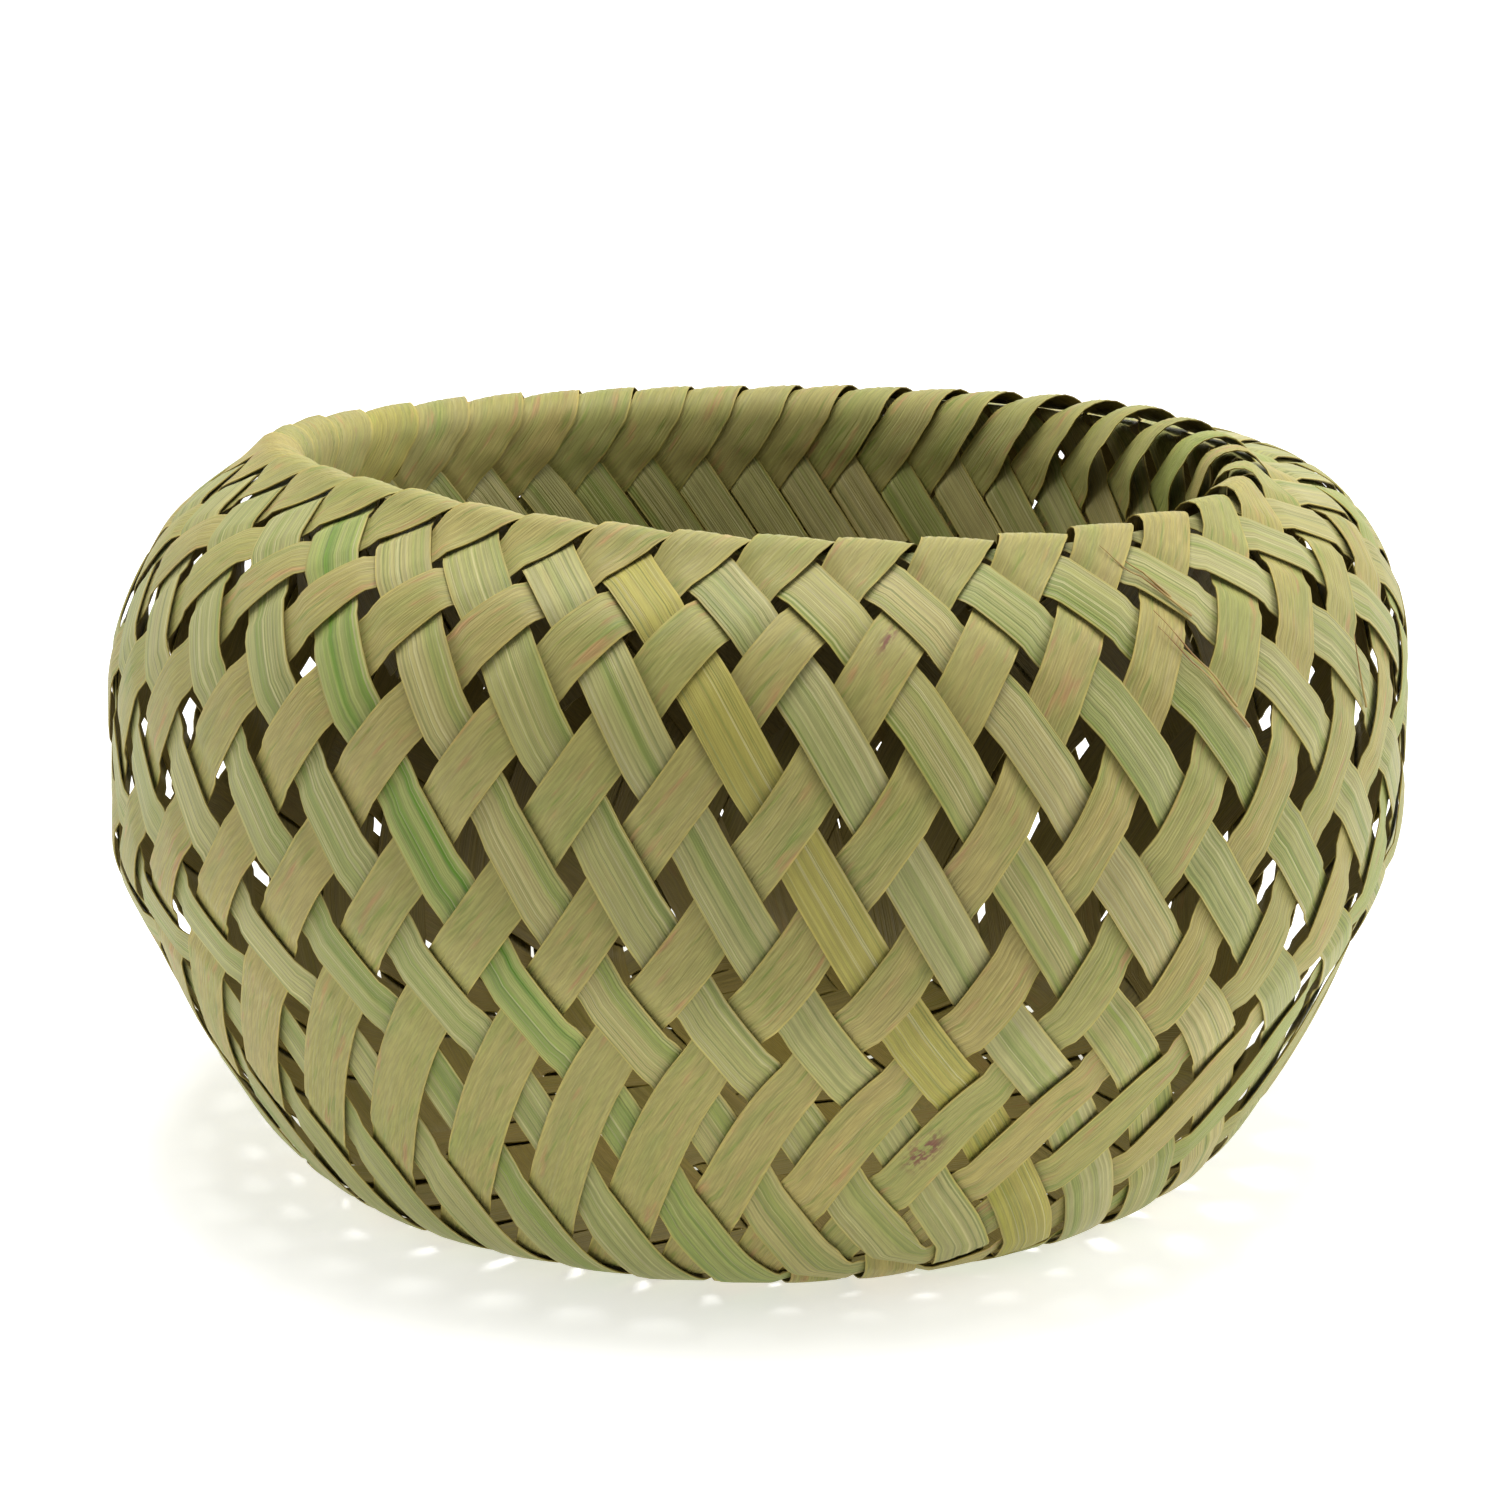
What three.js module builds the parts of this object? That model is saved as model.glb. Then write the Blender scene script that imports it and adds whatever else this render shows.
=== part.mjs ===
// A round-bellied storage basket, plaited on the bias from flat leaf strips.
// The strips start as a square mat, which is the base. Each one runs from the rim down the
// wall, through the base and up the opposite wall, so it is one long piece.
// Units are millimetres, +Z is up, and the basket rests on z = 0.

import * as THREE from 'three';

// Strips
const STRIPS_EACH_WAY = 20;
const STRIP_WIDTH = 6.6;
const STRIP_THICKNESS = 0.45;
// Clear space between two strips where one passes over the other
const LAYER_GAP = 0.35;
// Least space between neighbours that lie side by side
const SIDE_GAP = 0.7;
// How many strips a strip passes at a time in the base, and in the two lowest bands of the wall
const BASE_FLOAT = 3;
const FOOT_FLOAT = 2;
const LEAF_GREEN = '#b1b584';
const LEAF_OLIVE = '#a3a36c';

// Wall: the crossings lie in level rows, counted from the edge of the base
const ROWS = 11;
const FLAT_RADIUS = 50;
const EDGE_RADIUS = 61.1;
const EDGE_HEIGHT = 2.5;
const FOOT_RADIUS = 70.3;
const FOOT_HEIGHT = 14.8;
const FLANK_RADIUS = 77.3;
const FLANK_HEIGHT = 29.3;
const BELLY_RADIUS = 83.0;
const BELLY_HEIGHT = 45.0;
const SHOULDER_RADIUS = 83.0;
const SHOULDER_HEIGHT = 63.9;
const NECK_RADIUS = 76.4;
const NECK_HEIGHT = 81.1;
const RIM_RADIUS = 64.7;
const RIM_HEIGHT = 88.6;

// Rim: the whole plait rolls inwards over it and hangs down inside as a collar
const LIP_RADIUS = 62.9;
const LIP_HEIGHT = 89.5;
const ROLL_RADIUS = 61.05;
const ROLL_HEIGHT = 88.7;
const COLLAR_TOP_RADIUS = 60.3;
const COLLAR_TOP_HEIGHT = 86.9;
const COLLAR_END_RADIUS = 59.5;
const COLLAR_END_HEIGHT = 65.4;
const LIP_ROW = 11.4;
const ROLL_ROW = 11.72;
const COLLAR_TOP_ROW = 12.04;
const COLLAR_END_ROW = 16;
const LAST_ROW = 15;
// Extra space between the two leans where they bend over the rim
const ROLL_SPREAD = 0.5;
// The last row of the run that one lean makes over the rim
const RIM_FLOAT_ROW = 13;

// How far the hand-made shape leaves a true circle. The corners of the square mat show in the
// lowest rows, the crossings crowd on one side, and the rim tilts and is a little oval.
const CORNER_ANGLE_DEGREES = 21.2;
const CORNER_REACH = 6.1;
const CORNER_SWING_DEGREES = 1.2;
const CORNER_ROWS = 5;
// The middle of the mat stays square and opens late, within this many rows of its edge
const OPENING_POWER = 3;
const OPENING_ROWS = 3;
const CROWDING_DEGREES = 5;
const CROWDING_ANGLE_DEGREES = 102;
const SQUEEZE_DEGREES = 5.1;
const SQUEEZE_ANGLE_DEGREES = -45;
const RIM_OVAL = 2.5;
const RIM_OVAL_ANGLE_DEGREES = 29;
const RIM_TILT = 5.2;
const RIM_TILT_ANGLE_DEGREES = -7;
const RIM_WAVE = 1.2;
const RIM_WAVE_ANGLE_DEGREES = -64;
// The rows are not level half way up: they slope to one side, and rise and fall twice round,
// less at the back
const ROW_SLOPE = 5;
const ROW_SLOPE_ANGLE_DEGREES = 65;
const ROW_WAVE = 8.6;
const ROW_WAVE_ANGLE_DEGREES = -45;
const ROW_WAVE_FADE = 0.35;
// Above 1, the lift of the rows ends smoothly at the rim
const WALL_SHARE_POWER = 1.5;

const HALF_MAT = STRIPS_EACH_WAY / 2;
const CROSSINGS_ROUND = 2 * STRIPS_EACH_WAY;
const MAT_PITCH = STRIP_WIDTH + SIDE_GAP;
const LAYER_OFFSET = (STRIP_THICKNESS + LAYER_GAP) / 2;
const ROLL_OFFSET = LAYER_OFFSET + ROLL_SPREAD;
const BASE_LIFT = LAYER_OFFSET + STRIP_THICKNESS / 2;
const DEGREE = Math.PI / 180;
const FULL_TURN = 2 * Math.PI;
// A small share of the pitch, for the slopes of the skin
const STEP = 0.01;

// Wall rows and the points of the meridian that they pass through
const WALL = [
  [0, EDGE_RADIUS, EDGE_HEIGHT],
  [1.5, FOOT_RADIUS, FOOT_HEIGHT],
  [3, FLANK_RADIUS, FLANK_HEIGHT],
  [5, BELLY_RADIUS, BELLY_HEIGHT],
  [7, SHOULDER_RADIUS, SHOULDER_HEIGHT],
  [9, NECK_RADIUS, NECK_HEIGHT],
  [11, RIM_RADIUS, RIM_HEIGHT],
  [LIP_ROW, LIP_RADIUS, LIP_HEIGHT],
  [ROLL_ROW, ROLL_RADIUS, ROLL_HEIGHT],
  [COLLAR_TOP_ROW, COLLAR_TOP_RADIUS, COLLAR_TOP_HEIGHT],
  [COLLAR_END_ROW, COLLAR_END_RADIUS, COLLAR_END_HEIGHT],
];

// A smooth curve through values at rising stations
function curveThrough(stations, values, at) {
  const last = stations.length - 1;
  let k = 0;
  while (k < last - 1 && at > stations[k + 1]) {
    k += 1;
  }
  const slope = (i) => {
    const a = Math.max(i - 1, 0);
    const b = Math.min(i + 1, last);
    const turns = a < i && i < b && (values[i] - values[a]) * (values[b] - values[i]) <= 0;
    return turns ? 0 : (values[b] - values[a]) / (stations[b] - stations[a]);
  };
  const span = stations[k + 1] - stations[k];
  const u = (at - stations[k]) / span;
  const start = values[k];
  const rise = values[k + 1] - start;
  const m0 = slope(k) * span;
  const m1 = slope(k + 1) * span;
  return start + u * (m0 + u * (3 * rise - 2 * m0 - m1 + u * (m0 + m1 - 2 * rise)));
}

// The meridian by distance along it from the middle of the base
const meridianPoints = [[0, 0], [FLAT_RADIUS, 0]];
for (const [, radius, height] of WALL) {
  meridianPoints.push([radius, height]);
}
const distances = [0];
for (let i = 1; i < meridianPoints.length; i += 1) {
  const [r0, z0] = meridianPoints[i - 1];
  const [r1, z1] = meridianPoints[i];
  distances.push(distances[i - 1] + Math.hypot(r1 - r0, z1 - z0));
}
const meridianRadii = meridianPoints.map((p) => p[0]);
const meridianHeights = meridianPoints.map((p) => p[1]);
const rowStations = WALL.map((p) => p[0]);
const rowDistances = distances.slice(meridianPoints.length - WALL.length);
const EDGE_DISTANCE = rowDistances[0];

// How far a row half way up the wall lies above its level place
function rowLift(angle) {
  const slope = ROW_SLOPE * Math.cos(angle - ROW_SLOPE_ANGLE_DEGREES * DEGREE);
  const wave = ROW_WAVE * Math.cos(2 * (angle - ROW_WAVE_ANGLE_DEGREES * DEGREE));
  return slope + wave * (1 - ROW_WAVE_FADE * (1 - Math.cos(angle)));
}

// A place on the basket's skin from the distance along the meridian, the angle and the row.
// The collar keeps the tilt and oval of the rim that it hangs from.
function onSkin(distance, angle, row) {
  const up = Math.min(Math.max(row, 0), ROWS) / ROWS;
  const rimShare = up ** 3;
  const wallShare = (4 * up * (1 - up)) ** WALL_SHARE_POWER;
  const oval = RIM_OVAL * Math.cos(2 * (angle - RIM_OVAL_ANGLE_DEGREES * DEGREE));
  const wave = RIM_WAVE * Math.cos(2 * (angle - RIM_WAVE_ANGLE_DEGREES * DEGREE));
  const radius = curveThrough(distances, meridianRadii, distance) + oval * rimShare;
  const tilt = RIM_TILT * Math.cos(angle - RIM_TILT_ANGLE_DEGREES * DEGREE);
  const height = curveThrough(distances, meridianHeights, distance)
    + (tilt + wave) * rimShare + rowLift(angle) * wallShare;
  return new THREE.Vector3(
    radius * Math.sin(angle),
    -radius * Math.cos(angle),
    height + BASE_LIFT,
  );
}

// The crossings crowd a little on one side of the basket and open on the other
function crowding(angle) {
  return CROWDING_DEGREES * DEGREE * Math.cos(angle - CROWDING_ANGLE_DEGREES * DEGREE)
    + SQUEEZE_DEGREES * DEGREE * Math.cos(2 * (angle - SQUEEZE_ANGLE_DEGREES * DEGREE));
}

// The wall: q counts crossings round the basket from a corner of the mat, row counts up
function wallPoint(q, row) {
  const turn = (FULL_TURN * q) / CROSSINGS_ROUND;
  const left = Math.max(1 - row / CORNER_ROWS, 0) ** 2;
  const reach = CORNER_REACH * left * Math.cos(4 * turn);
  const swing = CORNER_SWING_DEGREES * DEGREE * left * Math.sin(4 * turn);
  const angle = CORNER_ANGLE_DEGREES * DEGREE + turn;
  const distance = curveThrough(rowStations, rowDistances, row) + reach;
  return onSkin(distance, angle - swing + crowding(angle), row);
}

// The base: x and y count strips of the square mat from its middle. Its square outline
// opens towards the rounder edge of the base.
function matPoint(x, y) {
  const share = (Math.abs(x) + Math.abs(y)) / HALF_MAT;
  const quarterTurn = FULL_TURN / 4;
  const straight = Math.atan2(y, x);
  const quarter = Math.round(straight / quarterTurn);
  const lean = Math.tan(straight - quarter * quarterTurn);
  const turn = quarterTurn * (quarter + lean / (1 + Math.abs(lean)));
  const swing = CORNER_SWING_DEGREES * DEGREE * Math.sin(4 * turn);
  const edge = EDGE_DISTANCE + CORNER_REACH * Math.cos(4 * turn);
  const flat = MAT_PITCH * Math.hypot(x, y);
  const opened = share ** OPENING_POWER;
  const distance = flat * (1 - opened / share) + edge * opened;
  const base = CORNER_ANGLE_DEGREES * DEGREE;
  const shift = turn - swing + crowding(base + turn) - straight;
  return onSkin(distance, base + straight + opened * shift, 0);
}

// A strip leaves the middle of the mat towards one quarter, own strips to one side of the
// mat's diagonal there. cross falls by one at each strip that it meets, so row = own - cross.
function strandPoint(quarter, side, own, cross) {
  const row = own - cross;
  if (row >= 0) {
    return wallPoint((side * (own + cross)) / 2 + quarter * HALF_MAT, row);
  }
  const x = HALF_MAT - cross;
  const y = side * own;
  const c = Math.round(Math.cos((quarter * FULL_TURN) / 4));
  const s = Math.round(Math.sin((quarter * FULL_TURN) / 4));
  return matPoint(c * x - s * y, s * x + c * y);
}

// The skin at a place, with the normal of the face that is outside on the wall. On the
// collar that face has turned over with the plait, and looks into the basket.
function skinFrame(quarter, side, own, cross) {
  const at = (i, j) => strandPoint(quarter, side, own + i * STEP, cross + j * STEP);
  const centre = at(0, 0);
  const across = at(1, 0).sub(at(-1, 0)).divideScalar(2 * STEP);
  const along = at(0, -1).sub(at(0, 1)).divideScalar(2 * STEP);
  const normal = new THREE.Vector3().crossVectors(across, along).multiplyScalar(side);
  const cell = normal.length();
  return { centre, across, along, cell, normal: normal.normalize() };
}

// Half of a strip's width as a share of the local pitch, narrowed where strips crowd
function halfWidth(cell, length) {
  const pitch = cell / length;
  return Math.min(STRIP_WIDTH, pitch - SIDE_GAP) / (2 * pitch);
}

// Whether the strips that rise to the left are on the outer face. In the base the floats form
// squares round its middle. The other lean runs over the rim, and goes behind below it.
function leftLeanIsOutside(row) {
  if (row < 0) {
    return Math.floor((-row - 1) / BASE_FLOAT) % 2 === 1;
  }
  if (row < 2 * FOOT_FLOAT) {
    return row < FOOT_FLOAT;
  }
  return row < ROWS ? row % 2 === 0 : row > RIM_FLOAT_ROW;
}

// The crossings of one half of a strip, from the middle of the mat to the end of the collar
function halfStrip(place, quarter) {
  const side = Math.sign(place);
  const own = Math.abs(place);
  const crossings = [];
  for (let cross = HALF_MAT - 0.5; own - cross <= LAST_ROW; cross -= 1) {
    const row = own - cross;
    const { centre, across, along, cell } = skinFrame(quarter, side, own, cross);
    const outside = leftLeanIsOutside(row) === (side > 0);
    crossings.push({
      quarter,
      side,
      own,
      cross,
      row,
      outside,
      isFlat: centre.z < BASE_LIFT + LAYER_GAP / 4,
      ownHalf: halfWidth(cell, along.length()),
      crossHalf: halfWidth(cell, across.length()),
    });
  }
  return crossings;
}

// A section of the strip: the outer and inner corner of each of its two edges, in the same
// order along the whole strip
function section(frames, offset, reversed) {
  const half = STRIP_THICKNESS / 2;
  const facing = new THREE.Vector3();
  const corners = frames.map(({ centre, normal }) => {
    facing.add(normal);
    return [offset + half, offset - half]
      .map((height) => centre.clone().addScaledVector(normal, height));
  });
  if (reversed) {
    corners.reverse();
  }
  return { facing, corners: [corners[0][0], corners[1][0], corners[1][1], corners[0][1]] };
}

function edgesOf(crossing, half) {
  return [-1, 1].map((edge) => crossing.own + crossing.side * edge * half);
}

function crossSection(crossing, cross, half, reversed) {
  const offset = crossing.outside ? LAYER_OFFSET : -LAYER_OFFSET;
  const frames = edgesOf(crossing, half)
    .map((own) => skinFrame(crossing.quarter, crossing.side, own, cross));
  return section(frames, offset, reversed);
}

// Where the plait rolls over the rim, the sections are level
function levelSection(crossing, row, reversed) {
  const offset = crossing.outside ? ROLL_OFFSET : -ROLL_OFFSET;
  const { quarter, side, own } = crossing;
  const { along, cell } = skinFrame(quarter, side, own, own - row);
  const frames = edgesOf(crossing, halfWidth(cell, along.length()))
    .map((edge) => skinFrame(quarter, side, edge, edge - row));
  return section(frames, offset, reversed);
}

// The sections of one half of a strip, from the middle of the mat over the rim
function halfSections(place, quarter, reversed) {
  const crossings = halfStrip(place, quarter);
  const sections = [];
  crossings.forEach((crossing, i) => {
    const before = crossings[i - 1];
    const after = crossings[i + 1];
    const floatsWith = (other) => other && other.outside === crossing.outside
      && (crossing.row >= ROWS || crossing.isFlat) && (other.row >= ROWS || other.isFlat);
    if (floatsWith(before) && crossing.isFlat && before.row >= -OPENING_ROWS) {
      const half = (before.ownHalf + crossing.ownHalf) / 2;
      sections.push(crossSection(crossing, crossing.cross + 0.5, half, reversed));
    }
    if (!floatsWith(before)) {
      const start = crossing.cross + crossing.crossHalf;
      sections.push(crossSection(crossing, start, crossing.ownHalf, reversed));
    }
    if (crossing.row === ROWS) {
      sections.push(...[LIP_ROW, ROLL_ROW, COLLAR_TOP_ROW]
        .map((row) => levelSection(crossing, row, reversed)));
    }
    if (!floatsWith(after)) {
      const end = crossing.cross - crossing.crossHalf;
      sections.push(crossSection(crossing, end, crossing.ownHalf, reversed));
    }
  });
  return sections;
}

// One closed ribbon through its sections
function ribbon(sections) {
  const positions = [];
  for (const { corners } of sections) {
    for (const corner of corners) {
      positions.push(corner.x, corner.y, corner.z);
    }
  }
  const index = [0, 1, 2, 0, 2, 3];
  for (let k = 0; k + 1 < sections.length; k += 1) {
    const { facing } = sections[k];
    for (let edge = 0; edge < 4; edge += 1) {
      const a = 4 * k + edge;
      const b = 4 * k + ((edge + 1) % 4);
      if (edge % 2 === 1 || bulgesOnFirst(positions, facing, a, b + 4, b, a + 4)) {
        index.push(a, a + 4, b + 4, a, b + 4, b);
      } else {
        index.push(a, a + 4, b, a + 4, b + 4, b);
      }
    }
  }
  const end = 4 * (sections.length - 1);
  index.push(end, end + 2, end + 1, end, end + 3, end + 2);
  const geometry = new THREE.BufferGeometry();
  geometry.setAttribute('position', new THREE.Float32BufferAttribute(positions, 3));
  geometry.setIndex(signedVolume(positions, index) < 0 ? turnedOver(index) : index);
  geometry.computeVertexNormals();
  return geometry;
}

// A four-sided patch is split along the diagonal that stands further towards the outer face,
// so that strips which lie on each other keep the same shape
function bulgesOnFirst(positions, facing, a, b, c, d) {
  const corner = (i) => new THREE.Vector3().fromArray(positions, 3 * i);
  const apart = corner(a).add(corner(b)).sub(corner(c)).sub(corner(d));
  return apart.dot(facing) >= 0;
}

function signedVolume(positions, index) {
  const corner = (i) => new THREE.Vector3().fromArray(positions, 3 * i);
  let volume = 0;
  for (let k = 0; k < index.length; k += 3) {
    const [a, b, c] = [corner(index[k]), corner(index[k + 1]), corner(index[k + 2])];
    volume += a.dot(b.cross(c)) / 6;
  }
  return volume;
}

function turnedOver(index) {
  const turned = [];
  for (let k = 0; k < index.length; k += 3) {
    turned.push(index[k], index[k + 2], index[k + 1]);
  }
  return turned;
}

function strip(name, place, quarter, color) {
  const far = halfSections(-place, quarter + 2, true).reverse();
  const near = halfSections(place, quarter, false);
  const material = new THREE.MeshStandardMaterial({ color, roughness: 0.6, metalness: 0 });
  const mesh = new THREE.Mesh(ribbon([...far, ...near]), material);
  mesh.name = name;
  return mesh;
}

const basket = new THREE.Group();
for (let i = 0; i < STRIPS_EACH_WAY; i += 1) {
  const place = i + 0.5 - HALF_MAT;
  const number = String(i + 1).padStart(2, '0');
  basket.add(strip(`strip_along_${number}`, place, 0, LEAF_GREEN));
  basket.add(strip(`strip_across_${number}`, place, 1, LEAF_OLIVE));
}

// The origin is under the middle of the whole basket
const extent = new THREE.Box3().setFromObject(basket);
const middle = extent.getCenter(new THREE.Vector3());
for (const mesh of basket.children) {
  mesh.geometry.translate(-middle.x, -middle.y, -extent.min.z);
}

export default basket;
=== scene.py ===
# %% [markdown]
# # A plaited storage basket
# A small round-bellied basket, plaited from flat strips of split leaf. This lesson takes the
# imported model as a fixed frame, and gives each of its 40 plain strips the shape and finish of
# real leaf: thin, a little cupped, bent smoothly over and under, and never quite even.

# %% Start with the frame
import math
import bpy
import numpy as np
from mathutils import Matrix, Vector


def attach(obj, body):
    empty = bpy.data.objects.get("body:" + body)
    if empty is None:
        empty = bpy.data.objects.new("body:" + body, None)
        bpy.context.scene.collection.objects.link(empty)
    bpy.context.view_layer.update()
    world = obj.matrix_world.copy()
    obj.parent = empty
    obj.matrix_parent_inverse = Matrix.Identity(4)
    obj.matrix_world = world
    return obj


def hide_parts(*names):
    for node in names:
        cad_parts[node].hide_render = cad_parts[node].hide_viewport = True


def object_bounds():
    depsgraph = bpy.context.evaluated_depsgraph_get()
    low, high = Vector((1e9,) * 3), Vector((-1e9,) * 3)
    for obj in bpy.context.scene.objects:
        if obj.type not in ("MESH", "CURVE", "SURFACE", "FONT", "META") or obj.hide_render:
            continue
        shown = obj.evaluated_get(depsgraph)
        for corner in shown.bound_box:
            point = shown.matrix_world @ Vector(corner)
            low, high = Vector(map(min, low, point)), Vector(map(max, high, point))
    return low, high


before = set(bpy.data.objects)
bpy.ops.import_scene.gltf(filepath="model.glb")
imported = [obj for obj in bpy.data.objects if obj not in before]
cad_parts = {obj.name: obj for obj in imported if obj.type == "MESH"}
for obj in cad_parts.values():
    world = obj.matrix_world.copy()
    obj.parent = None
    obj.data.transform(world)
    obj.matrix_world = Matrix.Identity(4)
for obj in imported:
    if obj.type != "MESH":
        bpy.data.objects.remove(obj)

MM = 0.001
cad_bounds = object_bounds()
print("nodes in the frame:", len(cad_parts))
print("box of the model in metres:", [list(corner) for corner in cad_bounds])

# %% [markdown]
# ## How the basket is laid out
# A leaf basket like this one starts as a square mat of 20 strips each way. The mat is the
# base. Its strips turn up at its edges, and then they lean left and right round the wall. The
# crossings of the wall lie in level rows, so a row number says how high a crossing is. All
# lengths here are in millimetres, and they are the sizes of the model in the frame.

# %% Count the strips and crossings
STRIPS_EACH_WAY = 20
HALF_MAT = STRIPS_EACH_WAY / 2
CROSSINGS_ROUND = 2 * STRIPS_EACH_WAY
STRIP_WIDTH = 6.6
SIDE_GAP = 0.7
MAT_PITCH = STRIP_WIDTH + SIDE_GAP
print("crossings round the wall:", CROSSINGS_ROUND)
print("width of the flat mat in mm:", round(STRIPS_EACH_WAY * MAT_PITCH))

# %% [markdown]
# ## The skin of the basket
# The weave follows one smooth skin, half way between the two layers of strips. Its outline
# from the middle of the base to the edge of the mouth is a curve through a few points. On a
# real basket no form or hoop sets this shape: the maker pulls the strips in row by row. It
# could be a modelled surface that the strips are laid on. Here it is a formula, because a
# formula gives the place and the slope anywhere on it.

# %% The outline of the skin
# Up to this radius the base is flat
FLAT_RADIUS = 50
# Row on the wall, radius and height there
WALL = [
    (0, 61.1, 2.5),
    (1.5, 70.3, 14.8),
    (3, 77.3, 29.3),
    (5, 83.0, 45.0),
    (7, 83.0, 63.9),
    (9, 76.4, 81.1),
    (11, 64.7, 88.6),
    (11.4, 62.9, 89.5),
    (11.72, 61.05, 88.7),
    (12.04, 60.3, 86.9),
    (16, 59.5, 65.4),
]
# The last row before the strips roll over to the inside
RIM_ROW = 11


def curve_through(stations, values, at):
    """A smooth curve through values at rising stations, without overshoot."""
    stations = np.asarray(stations, float)
    values = np.asarray(values, float)
    last = len(stations) - 1
    slopes = np.zeros(last + 1)
    for i in range(last + 1):
        a = max(i - 1, 0)
        b = min(i + 1, last)
        turns = a < i < b and (values[i] - values[a]) * (values[b] - values[i]) <= 0
        if not turns:
            slopes[i] = (values[b] - values[a]) / (stations[b] - stations[a])
    k = np.clip(np.searchsorted(stations, at) - 1, 0, last - 1)
    span = stations[k + 1] - stations[k]
    u = (at - stations[k]) / span
    rise = values[k + 1] - values[k]
    leaving = slopes[k] * span
    arriving = slopes[k + 1] * span
    bend = 3 * rise - 2 * leaving - arriving
    twist = leaving + arriving - 2 * rise
    return values[k] + u * (leaving + u * (bend + u * twist))


outline = np.array([(0, 0), (FLAT_RADIUS, 0)] + [(r, z) for _, r, z in WALL])
outline_steps = np.hypot(*np.diff(outline, axis=0).T)
distances = np.concatenate([[0], np.cumsum(outline_steps)])
row_stations = np.array([row for row, _, _ in WALL])
row_distances = distances[-len(WALL):]
edge_distance = row_distances[0]
print("length of the outline in mm:", round(distances[-1], 1))

# %% [markdown]
# A basket made by hand is never a true round. Here slow waves round it make the rim a little
# oval and tilted, lift and lower the rows of crossings, and crowd the crossings on one side.
# Each wave has a size and the angle of its high place, counted from the front to the right.

# %% Unevenness round the basket
# The skin of the base lies this far over the floor
BASE_LIFT = 0.625
RIM_OVAL = 2.5
RIM_OVAL_ANGLE = math.radians(29)
RIM_TILT = 5.2
RIM_TILT_ANGLE = math.radians(-7)
RIM_WAVE = 1.2
RIM_WAVE_ANGLE = math.radians(-64)
# How late on the way up the rim's own waves set in
RIM_SHARE_POWER = 3
ROW_SLOPE = 5
ROW_SLOPE_ANGLE = math.radians(65)
ROW_WAVE = 8.6
ROW_WAVE_ANGLE = math.radians(-45)
# The waves of the rows are weaker at the back, and strongest half way up the wall
ROW_WAVE_FADE = 0.35
WALL_SHARE_POWER = 1.5
CROWDING = math.radians(5)
CROWDING_ANGLE = math.radians(102)
SQUEEZE = math.radians(5.1)
SQUEEZE_ANGLE = math.radians(-45)


def row_lift(angle):
    """How far a row half way up the wall lies above its level place."""
    slope = ROW_SLOPE * np.cos(angle - ROW_SLOPE_ANGLE)
    wave = ROW_WAVE * np.cos(2 * (angle - ROW_WAVE_ANGLE))
    return slope + wave * (1 - ROW_WAVE_FADE * (1 - np.cos(angle)))


def crowding(angle):
    """The crossings crowd a little on one side of the basket and open on the other."""
    return (CROWDING * np.cos(angle - CROWDING_ANGLE)
            + SQUEEZE * np.cos(2 * (angle - SQUEEZE_ANGLE)))


def on_skin(distance, angle, row):
    """The skin from the distance along the outline, the angle round the basket and the row."""
    up = np.clip(row, 0, RIM_ROW) / RIM_ROW
    rim_share = up ** RIM_SHARE_POWER
    wall_share = (4 * up * (1 - up)) ** WALL_SHARE_POWER
    oval = RIM_OVAL * np.cos(2 * (angle - RIM_OVAL_ANGLE))
    wave = RIM_WAVE * np.cos(2 * (angle - RIM_WAVE_ANGLE))
    tilt = RIM_TILT * np.cos(angle - RIM_TILT_ANGLE)
    radius = curve_through(distances, outline[:, 0], distance) + oval * rim_share
    height = curve_through(distances, outline[:, 1], distance)
    height = height + (tilt + wave) * rim_share + row_lift(angle) * wall_share
    return np.stack([radius * np.sin(angle), -radius * np.cos(angle), height + BASE_LIFT],
                    axis=-1)


quarter_turns = np.arange(4) * np.pi / 2
print("lift of the middle rows in mm, each quarter turn:", np.round(row_lift(quarter_turns), 1))

# %% [markdown]
# The mat is square and the wall is round, so the mat's outline opens to a round as it nears
# its edge. Its four corners still lie a little further out than the middles of its sides, and
# this difference fades out over the first rows of the wall.

# %% Places on the wall and on the base
# Where the first corner is, how far out it lies, and over how many rows this fades
CORNER_ANGLE = math.radians(21.2)
CORNER_REACH = 6.1
CORNER_SWING = math.radians(1.2)
CORNER_ROWS = 5
# How late on the way out the square mat opens to a round
OPENING_POWER = 3


def wall_point(crossing, row):
    """The wall: crossings count round the basket, and rows count up from the mat's edge."""
    turn = 2 * np.pi * crossing / CROSSINGS_ROUND
    left = np.maximum(1 - row / CORNER_ROWS, 0) ** 2
    reach = CORNER_REACH * left * np.cos(4 * turn)
    swing = CORNER_SWING * left * np.sin(4 * turn)
    angle = CORNER_ANGLE + turn
    distance = curve_through(row_stations, row_distances, row) + reach
    return on_skin(distance, angle - swing + crowding(angle), row)


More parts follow.
